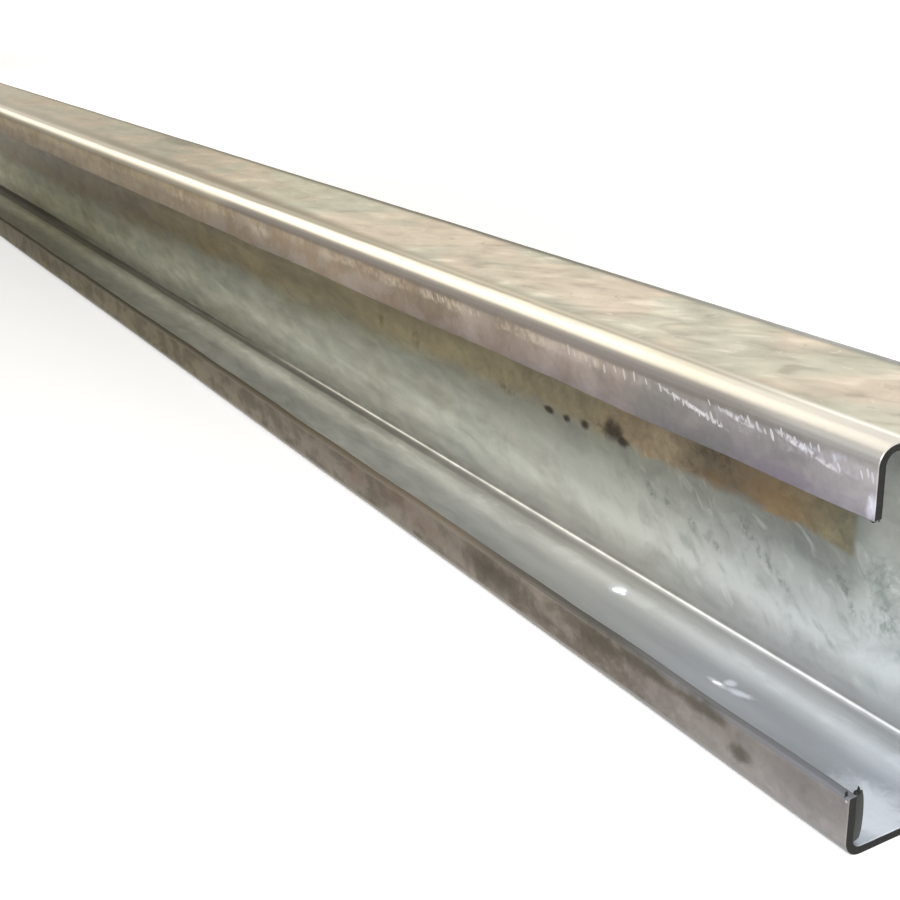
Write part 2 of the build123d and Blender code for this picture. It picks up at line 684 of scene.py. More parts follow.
zinc = dict(
    # colour across the strip, from the bottom lip's edge round to the top lip's edge; outside, the cream band
    # on the front bend is a painted highlight, the dark line at the back bend and the darker lines on either
    # side of the front bend are painted shade, the pale band just under the front bend is a painted glint,
    # and the top flange's beige is partly a painted warm reflection
    outside=(
        (0, (132, 127, 122)), (2, (128, 122, 117)), (13, (143, 138, 133)), (22, (152, 150, 145)),
        (182, (166, 167, 161)), (186, (126, 124, 117)), (191.5, (120, 118, 110)), (195, (200, 192, 176)),
        (227, (202, 194, 178)), (233.6, (184, 176, 160)), (236.4, (252, 246, 231)),
        (241.0, (252, 246, 232)), (244.8, (140, 135, 128)), (247.5, (162, 156, 153)),
        (253, (149, 143, 142)), (260, (137, 132, 135)),
    ),
    # inside, the white line in the lower corner is a painted glint with painted shade on either side, the
    # pale band on the bottom flange beside it is a painted highlight, and the web is painted lighter low down
    # and darker higher up, as painted shade under the top lip
    inside=(
        (0, (118, 113, 108)), (2, (150, 150, 149)), (24, (174, 176, 178)), (47, (158, 160, 162)),
        (59, (196, 198, 197)), (64.5, (170, 171, 169)), (68.2, (156, 156, 154)), (70.7, (164, 164, 162)),
        (71.4, (255, 255, 252)), (72.2, (255, 255, 252)), (72.9, (138, 138, 135)), (77, (158, 159, 157)),
        (82, (178, 179, 176)), (91, (212, 215, 211)), (104, (194, 197, 192)), (122, (156, 158, 150)),
        (150, (152, 153, 144)), (190, (142, 142, 137)), (260, (146, 144, 141)),
    ),
    # tint along the stock, as linear shares: bluish near the sawn end, browner and darker up to about a metre
    # along; partly weathering, partly painted light that is cool by the sawn end and dimmer further from it;
    # four faces have their own
    tint=(
        (0, (0.86, 0.91, 1.0)), (70, (0.92, 0.95, 1.0)), (190, (1.0, 0.99, 0.94)),
        (450, (0.96, 0.94, 0.83)), (700, (0.91, 0.88, 0.735)), (1020, (0.70, 0.66, 0.49)),
        (1500, (0.88, 0.82, 0.70)), (2300, (0.95, 0.92, 0.86)), (3000, (0.92, 0.88, 0.80)),
    ),
    # the lips' tints, this and the next, turn browner further along: partly weathering, partly a painted
    # reflection of a brown floor
    topLipTint=(
        (0, (0.80, 0.83, 0.89)), (45, (0.61, 0.62, 0.66)), (75, (0.55, 0.555, 0.555)),
        (112, (0.85, 0.80, 0.75)), (180, (0.80, 0.745, 0.665)), (240, (0.80, 0.74, 0.63)),
        (340, (0.98, 0.90, 0.74)), (600, (1.0, 0.92, 0.67)), (1020, (1.0, 0.90, 0.60)),
        (1500, (0.88, 0.83, 0.70)), (3000, (0.88, 0.83, 0.74)),
    ),
    bottomLipTint=(
        (0, (0.90, 0.93, 1.0)), (70, (0.94, 0.94, 0.97)), (110, (0.98, 0.95, 0.91)),
        (300, (0.99, 0.95, 0.87)), (600, (0.91, 0.86, 0.60)), (1020, (0.82, 0.77, 0.46)),
        (1500, (0.92, 0.88, 0.76)), (3000, (0.95, 0.90, 0.82)),
    ),
    # the top flange darkens from about 0.6 to 1.5 m along, partly as painted falloff of light
    topFlangeTint=(
        (0, (0.86, 0.85, 0.85)), (60, (0.88, 0.87, 0.86)), (140, (0.94, 0.93, 0.92)),
        (230, (0.93, 0.92, 0.90)), (330, (1.0, 0.99, 0.96)), (470, (0.97, 0.95, 0.90)),
        (640, (0.75, 0.73, 0.68)), (1000, (0.60, 0.56, 0.475)), (1500, (0.84, 0.81, 0.75)),
        (3000, (0.90, 0.87, 0.82)),
    ),
    # the front bend's tint dims its painted highlight by the sawn end
    frontBendTint=(
        (0, (0.55, 0.56, 0.59)), (45, (0.63, 0.63, 0.64)), (75, (0.67, 0.66, 0.63)),
        (110, (0.83, 0.82, 0.78)), (240, (0.92, 0.90, 0.86)), (330, (1.0, 0.98, 0.94)),
        (470, (1.0, 0.98, 0.94)), (1020, (1.0, 0.97, 0.88)), (1500, (0.90, 0.88, 0.83)),
        (3000, (0.88, 0.86, 0.81)),
    ),
)


def zincBase(tree, on, side):
    share = maths(tree, "DIVIDE", on["across"], stripWidth / millimetre)
    return ramp(tree, share, [(at * millimetre / stripWidth, srgb(*tone)) for at, tone in zinc[side]])


flangeMottle = dict(
    pink=(206, 192, 176), green=(184, 188, 172), hueShare=0.6,
    hueLengths=(85, 44, 0.2), hueEdges=(0.42, 0.58),
    wispLengths=(20, 9, 0.2), wispSlant=34, lumpContrast=0.7, cloudContrast=0.7,
    # pale and dark tones
    wisps=(((236, 230, 218), 0.40, (0.58, 0.74)), ((146, 137, 123), 0.30, (0.43, 0.28))),
    flecks=(((236, 230, 218), 0.35, (0.64, 0.72)), ((146, 137, 123), 0.35, (0.36, 0.28))),
)


def mottledFlange(tree, on, marks, colour):
    # pinkish and greenish clouds with small lumps on the top flange
    top = on["topFlange"]
    clouds = measured(tree, on["place"], flangeMottle["hueLengths"])
    amount = span(tree, noiseValue(tree, clouds, detail=2, distortion=0.8), *flangeMottle["hueEdges"])
    hue = mixColour(tree, amount, srgb(*flangeMottle["green"]), srgb(*flangeMottle["pink"]))
    colour = mixColour(tree, times(tree, top, flangeMottle["hueShare"]), colour, hue)
    slanted = measured(tree, on["place"], flangeMottle["wispLengths"], flangeMottle["wispSlant"])
    wisps = noiseValue(tree, slanted, detail=2, rough=0.45, distortion=0.5)
    lump = nearAndFar(tree, on, wisps, marks.outputs["Cloud"])
    cloud = nearAndFar(tree, on, marks.outputs["Cloud"], marks.outputs["Drift"])
    colour = uneven(tree, colour, lump, flangeMottle["lumpContrast"], top)
    colour = uneven(tree, colour, cloud, flangeMottle["cloudContrast"], top)
    colour = toned(tree, colour, lump, flangeMottle["wisps"], top)
    return toned(tree, colour, marks.outputs["Lump"], flangeMottle["flecks"], top)


backMottle = dict(
    contrasts=dict(Drift=1.2, Cloud=0.9, Lump=0.6),
    tones=(((200, 202, 198), 0.4, (0.54, 0.70)), ((126, 127, 121), 0.4, (0.46, 0.30))),
    tint=(0.98, 0.97, 0.94, 1.0), tintShare=0.8,
)


def mottledBack(tree, on, marks, colour):
    # grey clouds drawn out along the stock
    for name, contrast in backMottle["contrasts"].items():
        colour = uneven(tree, colour, marks.outputs[name], contrast, on["back"])
    return toned(tree, colour, marks.outputs["Patch"], backMottle["tones"], on["back"])


# the lips darken and turn brown further along: partly weathering, partly a painted reflection of a dark brown
# floor; the slit edge's tones are listed here too
lipGrimeAndReflection = dict(
    # how far along it sets in, least and extra strength, colour
    topLip=((50, 230), (0.10, 0.37), (116, 99, 76)),
    bottomLip=((25, 110), (0.28, 0.46), (80, 75, 66)),
    contrast=1.2, lumpShare=0.4, cloudEdges=(0.42, 0.60),
    calms=dict(topLip=(2000, 3000), bottomLip=(150, 280)), calmShare=0.6,
    # the bottom lip's slit edge, from the sawn end on
    edge=(
        (0, (118, 117, 118)), (85, (114, 112, 110)), (110, (96, 93, 88)), (165, (100, 96, 91)),
        (215, (120, 111, 101)), (300, (112, 104, 94)), (420, (98, 92, 83)), (600, (90, 86, 78)),
        (3000, (108, 100, 88)),
    ),
    edgeReach=(1.0, 0.15),
)


def grimeAndReflectionOnLips(tree, on, marks, colour):
    # brown darkening on the lips: partly weathering, partly painted reflection
    cloud = span(tree, marks.outputs["Cloud"], *lipGrimeAndReflection["cloudEdges"])
    patch = nearAndFar(tree, on, marks.outputs["Patch"], marks.outputs["Drift"])
    lump = nearAndFar(tree, on, marks.outputs["Lump"], marks.outputs["Patch"])
    for face in ("topLip", "bottomLip"):
        sets, (least, extra), tone = lipGrimeAndReflection[face]
        strength = maths(tree, "MULTIPLY_ADD", cloud, extra, least)
        amount = times(tree, strength, span(tree, on["along"], *sets))
        colour = mixColour(tree, times(tree, amount, on[face]), colour, srgb(*tone))
        calm = span(tree, on["along"], *lipGrimeAndReflection["calms"][face])
        mask = times(tree, on[face], maths(tree, "MULTIPLY_ADD", calm, -lipGrimeAndReflection["calmShare"], 1.0))
        colour = uneven(tree, colour, patch, lipGrimeAndReflection["contrast"], mask)
        colour = uneven(tree, colour, lump, lipGrimeAndReflection["contrast"] * lipGrimeAndReflection["lumpShare"], mask)
    return colour


def darkEdge(tree, on, marks, colour):
    # the slit edge of the bottom lip; also gives its mask
    on["edge"] = span(tree, on["across"], *lipGrimeAndReflection["edgeReach"])
    tone = alongRamp(tree, on["along"], lipGrimeAndReflection["edge"], writtenColour)
    return mixColour(tree, on["edge"], colour, tone)


insideMottle = dict(
    webContrast=1.1, flangeContrast=0.8, fineContrast=0.75, fineSpan=(120, 330),
    # a pale streak on the bottom flange beside the zinc run: painted highlight
    ridgeGlintZone=(57, 62, 2.5), ridgeGlint=(((224, 226, 226), 0.30, (0.48, 0.62)),),
    green=(((142, 152, 144), 0.22, (0.50, 0.66)),),
    # bluish and olive clouds on the web, further along
    hueLengths=(70, 24, 0.2), hueSlant=6, hueSpan=(140, 420),
    hues=(((158, 170, 166), 0.40, (0.49, 0.66)), ((142, 136, 112), 0.40, (0.49, 0.32))),
    # dark and pale strokes on the web
    strokeZone=(86, 126, 9), strokeFade=(230, 120),
    strokes=(((126, 138, 134), 0.42, (0.52, 0.74)), ((220, 223, 218), 0.40, (0.45, 0.29))),
)


def mottledInside(tree, on, marks, colour):
    # soft clouds all along, and slanting grey-green strokes on the web near the sawn end
    cloud = nearAndFar(tree, on, marks.outputs["Cloud"], marks.outputs["Drift"])
    colour = uneven(tree, colour, cloud, insideMottle["webContrast"], on["web"])
    colour = uneven(tree, colour, marks.outputs["Drift"], insideMottle["flangeContrast"], on["bottomFlange"])
    # painted highlight along the zinc run on the bottom flange
    ridgeGlint = times(tree, zone(tree, on["across"], *insideMottle["ridgeGlintZone"]), on["inside"])
    colour = toned(tree, colour, marks.outputs["Cloud"], insideMottle["ridgeGlint"], ridgeGlint)
    colour = toned(tree, colour, cloud, insideMottle["green"], on["web"])
    turned = measured(tree, on["place"], insideMottle["hueLengths"], insideMottle["hueSlant"])
    hue = noiseValue(tree, turned, detail=2, rough=0.5, distortion=0.15)
    further = times(tree, span(tree, on["along"], *insideMottle["hueSpan"]), on["web"])
    colour = toned(tree, colour, hue, insideMottle["hues"], further)
    fine = times(tree, span(tree, on["along"], *insideMottle["fineSpan"]), on["inside"])
    colour = uneven(tree, colour, marks.outputs["Fleck"], insideMottle["fineContrast"], fine)
    strokes = times(tree, zone(tree, on["across"], *insideMottle["strokeZone"]), on["inside"])
    strokes = times(tree, strokes, span(tree, on["along"], *insideMottle["strokeFade"]))
    return toned(tree, colour, marks.outputs["Stroke"], insideMottle["strokes"], strokes)


leeStainAndShadow = dict(
    # brown band high on the inside of the web, under the top lip: partly a stain, partly the top lip's cast
    # shadow painted in, ending crisply near the sawn end
    edge=124.5, crisp=1.6, soft=8.0, softens=(120, 420), sinks=12.0, sinkSpan=(150, 800),
    wander=(14.0, 30.0), fades=(150, 174), starts=(56.5, 59.5), strength=0.85, contrast=1.2, lumps=1.0,
    toneSway=16.0,
    tones=(
        (56, (128, 123, 98)), (70, (156, 142, 108)), (92, (166, 140, 100)), (108, (150, 124, 92)),
        (126, (116, 102, 80)), (150, (172, 152, 124)), (176, (168, 148, 120)), (200, (158, 146, 117)),
        (330, (170, 158, 126)), (450, (156, 144, 113)), (620, (150, 134, 100)), (800, (130, 115, 82)),
        (1300, (130, 120, 98)), (3000, (132, 124, 106)),
    ),
)


def stainedShadowedWeb(tree, on, marks, colour):
    # painted shadow and stain: nearly straight and crisp by the sawn end, cloudy and lower further along
    sink = times(tree, span(tree, on["along"], *leeStainAndShadow["sinkSpan"]), leeStainAndShadow["sinks"])
    loose = span(tree, on["along"], *leeStainAndShadow["softens"])
    least, most = leeStainAndShadow["wander"]
    edge = nearAndFar(tree, on, marks.outputs["Cloud"], marks.outputs["Drift"])
    reach = maths(tree, "MULTIPLY_ADD", loose, most - least, least)
    sway = times(tree, maths(tree, "SUBTRACT", edge, 0.5), reach)
    level = maths(tree, "ADD", maths(tree, "ADD", on["across"], sink), sway)
    soft = maths(tree, "MULTIPLY_ADD", loose, leeStainAndShadow["soft"] - leeStainAndShadow["crisp"], leeStainAndShadow["crisp"])
    above = maths(tree, "DIVIDE", maths(tree, "SUBTRACT", level, leeStainAndShadow["edge"]), soft)
    fadeStart, fadeEnd = leeStainAndShadow["fades"]
    band = times(tree, span(tree, above, -1.0, 1.0), span(tree, on["across"], fadeEnd, fadeStart))
    band = times(tree, band, span(tree, on["along"], *leeStainAndShadow["starts"]), on["inside"], leeStainAndShadow["strength"])
    toneSway = leeStainAndShadow["toneSway"]
    shift = maths(tree, "MULTIPLY_ADD", marks.outputs["Lump"], toneSway, -toneSway / 2)
    stain = alongRamp(tree, maths(tree, "ADD", on["along"], shift), leeStainAndShadow["tones"], writtenColour)
    stain = uneven(tree, stain, edge, leeStainAndShadow["contrast"], 1.0)
    lump = nearAndFar(tree, on, marks.outputs["Lump"], marks.outputs["Fleck"])
    stain = uneven(tree, stain, lump, leeStainAndShadow["lumps"], 1.0)
    return mixColour(tree, band, colour, stain)


# dark seams in the lower inside corner: painted corner shade with some dirt; the glint keys dim the corner's
# painted glint further along
cornerGrimeAndShade = dict(
    tone=(54, 49, 40), glint=1.2, glintZone=(71.2, 72.4, 0.7), glintFade=(400, 600), dull=(112, 108, 96),
    # zone across, soft edge, where along it sets in and is full, strength
    seams=(
        ((66.5, 70.4), 1.6, (150, 420), 0.50), ((69.5, 72.5), 1.8, (420, 660), 0.60),
        ((70.5, 73.5), 1.8, (660, 860), 0.78), ((73, 78), 2.0, (860, 1100), 0.90),
    ),
)


def grimyShadedCorner(tree, on, marks, colour):
    # dark seam in the lower inside corner, wider further along: painted corner shade with some dirt; also
    # gives its mask
    dirt = 0.0
    for (start, end), soft, (sets, full), strength in cornerGrimeAndShade["seams"]:
        seam = times(tree, zone(tree, on["across"], start, end, soft), on["inside"])
        seam = times(tree, seam, span(tree, on["along"], sets, full), strength)
        dirt = maths(tree, "MAXIMUM", dirt, seam)
    on["dirt"] = dirt
    glint = zone(tree, on["across"], *cornerGrimeAndShade["glintZone"])
    glintEnds = times(tree, glint, span(tree, on["along"], *cornerGrimeAndShade["glintFade"]))
    colour = tinge(tree, colour, cornerGrimeAndShade["dull"], 1.0, glintEnds)
    colour = uneven(tree, colour, marks.outputs["Cloud"], cornerGrimeAndShade["glint"], on["lowCorner"])
    return mixColour(tree, dirt, colour, srgb(*cornerGrimeAndShade["tone"]))


blotches = dict(
    # colour, strength, then marks as (along, across, half length, half height, degrees)
    outside=dict(
        slate=((92, 96, 94), 0.40, ((88, 254, 15, 8), (60, 257, 8, 4))),
        shade=((124, 119, 106), 0.6, ((650, 196, 40, 7),)),
        plum=((108, 98, 112), 0.5, ((32, 258, 10, 4),)),
        grime=((70, 66, 57), 0.72, (
            (112, 4.5, 14, 4.5), (88, 2.5, 20, 3.4), (62, 2.2, 15, 2.8), (43, 9, 5, 3), (180, 7, 26, 6),
        )),
        rust=((110, 90, 77), 0.40, ((262, 4, 18, 5), (300, 6, 12, 6), (236, 8, 16, 4))),
        # pale streaks in the row of ripples under the top bend: painted glints
        streak=((216, 215, 222), 0.68, (
            (71.5, 249.2, 15, 0.7, -8.8), (64, 250.5, 9, 0.6, -9), (27, 247.9, 8, 1.0, -10),
            (18, 249.6, 6, 0.9, -12), (50, 247.4, 8, 1.0, -5),
        )),
        # broken pale dabs further along the same row: painted glints
        foam=((188, 176, 157), 0.45, (
            (505, 250.2, 26, 3.6), (392, 251, 16, 3.6), (300, 248.6, 16, 2.2), (255, 249, 9, 2.2),
            (228, 248.4, 8, 2), (206, 248.6, 9, 2.2), (150, 248.4, 12, 1.8), (122, 248.2, 9, 1.6),
        )),
        frost=((206, 206, 226), 0.70, ((1.2, 256.2, 1.8, 3.6),)),
    ),
    inside=dict(
        orange=((156, 120, 82), 0.32, ((92, 129, 14, 6), (126, 126, 8, 4))),
        brown=((52, 41, 30), 0.90, (
            (185, 127, 8, 5), (178, 124.5, 5, 2.5), (203, 124, 3.2, 2.2), (216, 123, 2.8, 2),
            (229, 123, 4, 1.6),
        )),
        umber=((88, 74, 54), 0.55, (
            (122, 136, 12, 4.5), (262, 123.5, 8, 3), (382, 128, 5, 6), (345, 126, 4, 5),
        )),
        milk=((216, 222, 232), 0.70, (
            (159.5, 57.6, 6, 4), (87, 43.8, 5, 1.3), (84.5, 47.6, 2.4, 2.2), (77.5, 45.4, 5.5, 1.6, -15),
            # the last mark, by the sawn end, is painted light on the bottom flange
            (10, 33, 18, 13),
        )),
        fern=((118, 129, 125), 0.60, (
            (108, 114.5, 4, 2.2, 50), (104, 111, 4.5, 1.5, 60), (100.5, 108.5, 4.5, 1.6, 55),
            (95.5, 106, 4, 1.4, 60), (90, 103, 3.5, 1.4, 60), (86, 100.5, 3, 1.2, 55),
            (150, 110.5, 4.5, 1.8, 80), (135, 105, 4, 2.2, 50), (122, 101.8, 3.5, 1.8, 40),
            (160, 111, 4, 2.5, 40), (64, 114.5, 3, 1.6, 60), (60, 110.5, 4, 1.8, 60),
            (57, 105, 4, 1.8, 60), (51, 103.5, 4, 2, 50), (46, 120, 9, 10), (44, 108, 6, 8),
        )),
        bead=((44, 48, 46), 1.0, ((1.0, 7.0, 2.2, 12),)),
    ),
    # these are made of small dabs
    broken=("fern", "streak", "foam", "umber"),
    dabLengths=(2.6, 3.4, 0.2), dabSlant=30, dabEdges=(0.38, 0.60),
    lumpWobble=0.9, cloudWobble=1.2, edges=(1.3, 0.3),
)


def blotchedFaces(tree, on, marks, colour, side):
    lumpWobble, cloudWobble = blotches["lumpWobble"], blotches["cloudWobble"]
    wobble = maths(tree, "MULTIPLY_ADD", marks.outputs["Lump"], lumpWobble, -lumpWobble / 2)
    sway = maths(tree, "MULTIPLY_ADD", marks.outputs["Cloud"], cloudWobble, -cloudWobble / 2)
    wobble = maths(tree, "ADD", wobble, sway)
    slanted = measured(tree, on["place"], blotches["dabLengths"], blotches["dabSlant"])
    fine = noiseValue(tree, slanted, detail=3, rough=0.6, distortion=0.5)
    gaps = span(tree, nearAndFar(tree, on, fine, marks.outputs["Lump"]), *blotches["dabEdges"])
    for name, (tone, strength, places) in blotches[side].items():
        mask = 0.0
        for along, across, halfLength, halfHeight, *turn in places:
            mark = measured(tree, on["place"], (halfLength, halfHeight, 0.3), *turn)
            mark.node.inputs["Location"].default_value = (along, across, 1.0 if side == "inside" else 0.0)
            away = tree.nodes.new("ShaderNodeVectorMath")
            away.operation = "LENGTH"
            tree.links.new(mark, away.inputs[0])
            ragged = maths(tree, "ADD", away.outputs["Value"], wobble)
            mask = maths(tree, "MAXIMUM", mask, span(tree, ragged, *blotches["edges"]))
        if name in blotches["broken"]:
            mask = times(tree, mask, gaps)
        colour = tinge(tree, colour, tone, strength, mask)
    return colour


# pale ticks under the top bend: painted glints of the zinc ripples
tickGlint = dict(
    zone=(246.8, 249.8, 1.2), sway=6.0, lengths=(2.7, 3.0, 0.2), slant=25, edges=(0.40, 0.68),
    clusters=(26, 30, 0.2), clusterEdges=(0.38, 0.54), share=0.62,
    tones=(
        (0, (180, 180, 188)), (70, (182, 179, 178)), (220, (182, 171, 158)), (700, (166, 154, 130)),
        (3000, (170, 162, 148)),
    ),
)


def glintingTicks(tree, on, marks, colour):
    # rows of soft pale ticks along the top lip, just under its bend: painted glints of the zinc ripples there
    sway = maths(tree, "MULTIPLY_ADD", marks.outputs["Cloud"], tickGlint["sway"], -tickGlint["sway"] / 2)
    level = maths(tree, "ADD", on["across"], sway)
    row = times(tree, zone(tree, level, *tickGlint["zone"]), on["outside"])
    near = noiseValue(tree, measured(tree, on["place"], tickGlint["lengths"], tickGlint["slant"]), detail=2)
    ticks = span(tree, nearAndFar(tree, on, near, marks.outputs["Lump"]), *tickGlint["edges"])
    clusters = noiseValue(tree, measured(tree, on["place"], tickGlint["clusters"]), detail=1)
    mask = times(tree, ticks, span(tree, clusters, *tickGlint["clusterEdges"]), row, tickGlint["share"])
    return mixColour(tree, mask, colour, alongRamp(tree, on["along"], tickGlint["tones"], writtenColour))


def weatheringAndLightAlong(tree, on, marks, colour):
    # the tints along the stock are partly weathering, partly painted light; the back stays grey, and four
    # faces have their own tint
    tint = alongRamp(tree, on["along"], zinc["tint"], linearShare)
    tint = mixColour(tree, times(tree, on["back"], backMottle["tintShare"]), tint, backMottle["tint"])
    for face in ("topFlange", "topLip", "bottomLip", "frontBend"):
        tint = mixColour(tree, on[face], tint, alongRamp(tree, on["along"], zinc[face + "Tint"], linearShare))
    return mixColour(tree, 1.0, colour, tint, "MULTIPLY")


bendShade = dict(
    # the top flange is darker just before its front bend; the shade creeps over the bend further along
    tone=(138, 129, 112), share=0.85, grows=(15, 75), edge=236.6, soft=1.9, creeps=3.0, creepSpan=(60, 720),
    starts=(230, 239), widens=8.0, widenSpan=(200, 520),
    # a dark line under the bend, in the first half metre
    foot=(108, 101, 98), footShare=0.6, footZone=(243.4, 245.8, 0.9), footAlong=(60, 420, 40),
)


def shadedBend(tree, on, marks, colour):
    creep = times(tree, span(tree, on["along"], *bendShade["creepSpan"]), bendShade["creeps"])
    level = maths(tree, "SUBTRACT", on["across"], creep)
    shade = span(tree, level, bendShade["edge"] + bendShade["soft"], bendShade["edge"])
    widen = times(tree, span(tree, on["along"], *bendShade["widenSpan"]), bendShade["widens"])
    begins = span(tree, maths(tree, "ADD", on["across"], widen), *bendShade["starts"])
    shade = times(tree, shade, begins, on["outside"])
    grown = span(tree, on["along"], *bendShade["grows"])
    colour = tinge(tree, colour, bendShade["tone"], bendShade["share"], shade, grown)
    foot = zone(tree, on["across"], *bendShade["footZone"])
    foot = times(tree, foot, zone(tree, on["along"], *bendShade["footAlong"]))
    return tinge(tree, colour, bendShade["foot"], bendShade["footShare"], foot, on["outside"])


sideLayers = dict(
    outside=(mottledFlange, mottledBack, grimeAndReflectionOnLips, darkEdge, glintingTicks, weatheringAndLightAlong, shadedBend),
    inside=(mottledInside, stainedShadowedWeb, darkEdge, weatheringAndLightAlong, grimyShadedCorner),
)


zincFinishes = dict(
    # side of the strip and specular level; the lips are the dullest
    outsideZinc=("outside", 0.30),
    insideZinc=("inside", 0.24),
    lipZinc=("outside", 0.035),
)

gloss = dict(
    metallic=0.25,
    # how dull weathering leaves each face, up to 1
    lipDull=0.92, lipSpan=(10, 160), insideDull=0.4, edgeDull=0.92,
    flangeDull=0.5, nearFlangeDull=0.45, nearFlange=(900, 300),  # the near part is duller and rougher
    rough=0.32, patchRough=0.22, rubbed=-0.12, dirtRough=0.45, nearFlangeRough=0.42,
    bumpStrength=0.5, bumpDistance=0.0004, grainHeight=0.25, lumpHeight=0.8,
)


def galvanisedZinc(mottle, name):
    side, specular = zincFinishes[name]
    material, tree, shader = newMaterial(name)
    on = stripCoordinates(tree)
    marks = useGroup(tree, mottle, Strip=on["place"])
    colour = zincBase(tree, on, side)
    for layer in sideLayers[side]:
        colour = layer(tree, on, marks, colour)
    colour = blotchedFaces(tree, on, marks, colour, side)
    tree.links.new(colour, shader.inputs["Base Color"])

    # the lips, the inside and the top flange are dull with weathering
    nearFlange = span(tree, on["along"], *gloss["nearFlange"])
    lips = maths(tree, "ADD", on["topLip"], on["bottomLip"], clamp=True)
    flange = maths(tree, "MULTIPLY_ADD", nearFlange, gloss["nearFlangeDull"], gloss["flangeDull"])
    dull = times(tree, lips, span(tree, on["along"], *gloss["lipSpan"]), gloss["lipDull"])
    dull = maths(tree, "MAXIMUM", dull, times(tree, on["topFlange"], flange))
    dull = maths(tree, "MAXIMUM", dull, times(tree, on["inside"], gloss["insideDull"]))
    dull = maths(tree, "MAXIMUM", dull, times(tree, on["edge"], gloss["edgeDull"]))
    shine = maths(tree, "SUBTRACT", 1.0, dull)
    tree.links.new(times(tree, shine, gloss["metallic"]), shader.inputs["Metallic"])
    shader.inputs["Specular IOR Level"].default_value = specular

    # the rubbed front bend and the lower inside corner are smoother, the dirt in the corner is rough
    rubbed = times(tree, maths(tree, "ADD", on["frontBend"], on["lowCorner"], clamp=True), gloss["rubbed"])
    rough = maths(tree, "MULTIPLY_ADD", marks.outputs["Patch"], gloss["patchRough"], gloss["rough"])
    rough = maths(tree, "ADD", rough, rubbed)
    rough = maths(tree, "MULTIPLY_ADD", on["dirt"], gloss["dirtRough"], rough)
    matt = times(tree, on["topFlange"], nearFlange)
    rough = maths(tree, "MULTIPLY_ADD", matt, gloss["nearFlangeRough"], rough, clamp=True)
    tree.links.new(rough, shader.inputs["Roughness"])

    lumps = times(tree, marks.outputs["Lump"], gloss["lumpHeight"])
    height = maths(tree, "MULTIPLY_ADD", marks.outputs["Grain"], gloss["grainHeight"], lumps)
    addBump(tree, shader, height, gloss["bumpStrength"], gloss["bumpDistance"])
    return material


bright = dict(
    # domes on the outside take a share of the ticks' painted glint tones, drops on the inside are nearly
    # white
    lipShare=0.82, drop=(246, 247, 248), contrast=0.5, specular=0.25, rough=0.46, patchRough=0.2,
)


def brightZinc(mottle):
    material, tree, shader = newMaterial("brightZinc")
    on = stripCoordinates(tree)
    marks = useGroup(tree, mottle, Strip=on["place"])
    lipTone = alongRamp(tree, on["along"], tickGlint["tones"], writtenColour)
    lipTone = mixColour(tree, 1.0, lipTone, linearShare((bright["lipShare"],) * 3), "MULTIPLY")
    tone = mixColour(tree, on["inside"], lipTone, srgb(*bright["drop"]))
    colour = uneven(tree, tone, marks.outputs["Grain"], bright["contrast"], 1.0)
    tree.links.new(colour, shader.inputs["Base Color"])
    shader.inputs["Specular IOR Level"].default_value = bright["specular"]
    rough = maths(tree, "MULTIPLY_ADD", marks.outputs["Patch"], bright["patchRough"], bright["rough"])
    tree.links.new(rough, shader.inputs["Roughness"])
    return material


sawn = dict(
    cutLengths=(1000, 6.2, 0.55), dark=(22, 23, 24), pale=(50, 51, 49),
    rust=(40, 34, 28), rustShare=0.35, rustEdges=(0.45, 0.62),
    metallic=0.1, specular=0.1, rough=0.4, cutRough=0.25, bumpStrength=0.4, bumpDistance=0.0002,
)


def sawnSteel(mottle):
    material, tree, shader = newMaterial("sawnSteel")
    where = measured(tree, tree.nodes.new("ShaderNodeTexCoord").outputs["Object"], (millimetre,) * 3)
    marks = useGroup(tree, mottle, Strip=where)
    cuts = noiseValue(tree, measured(tree, where, sawn["cutLengths"]), detail=2)
    colour = mixColour(tree, cuts, srgb(*sawn["dark"]), srgb(*sawn["pale"]))
    rust = span(tree, marks.outputs["Patch"], *sawn["rustEdges"])
    colour = mixColour(tree, times(tree, rust, sawn["rustShare"]), colour, srgb(*sawn["rust"]))
    tree.links.new(colour, shader.inputs["Base Color"])
    shader.inputs["Metallic"].default_value = sawn["metallic"]
    shader.inputs["Specular IOR Level"].default_value = sawn["specular"]
    rough = maths(tree, "MULTIPLY_ADD", cuts, sawn["cutRough"], sawn["rough"])
    tree.links.new(rough, shader.inputs["Roughness"])
    addBump(tree, shader, cuts, sawn["bumpStrength"], sawn["bumpDistance"])
    return material


mottle = zincMottleGroup()
outsideFinish, insideFinish, lipFinish = (galvanisedZinc(mottle, name) for name in zincFinishes)
brightFinish = brightZinc(mottle)
sawnFinish = sawnSteel(mottle)
print("finishes made")

skinPiece = buildSkin([outsideFinish, insideFinish, sawnFinish, lipFinish])
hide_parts("c_section")
pieces = [
    skinPiece, buildRipples(brightFinish), buildSpecks(brightFinish),
    buildBurrs(sawnFinish), buildBead(insideFinish),
]
for piece in pieces:
    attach(piece, "root")
    print(piece.name, sum(len(face.vertices) - 2 for face in piece.data.polygons), "triangles")


# pale floor, soft light and the camera

floor = dict(
    size=60.0, drop=0.0006, colour=(203, 203, 203), roughness=0.9,
    # how much it glows to the camera and in reflections, beside the stock and far from it
    nearGlow=0.49, farGlow=0.88, farSpan=(0.12, 1.3),
)


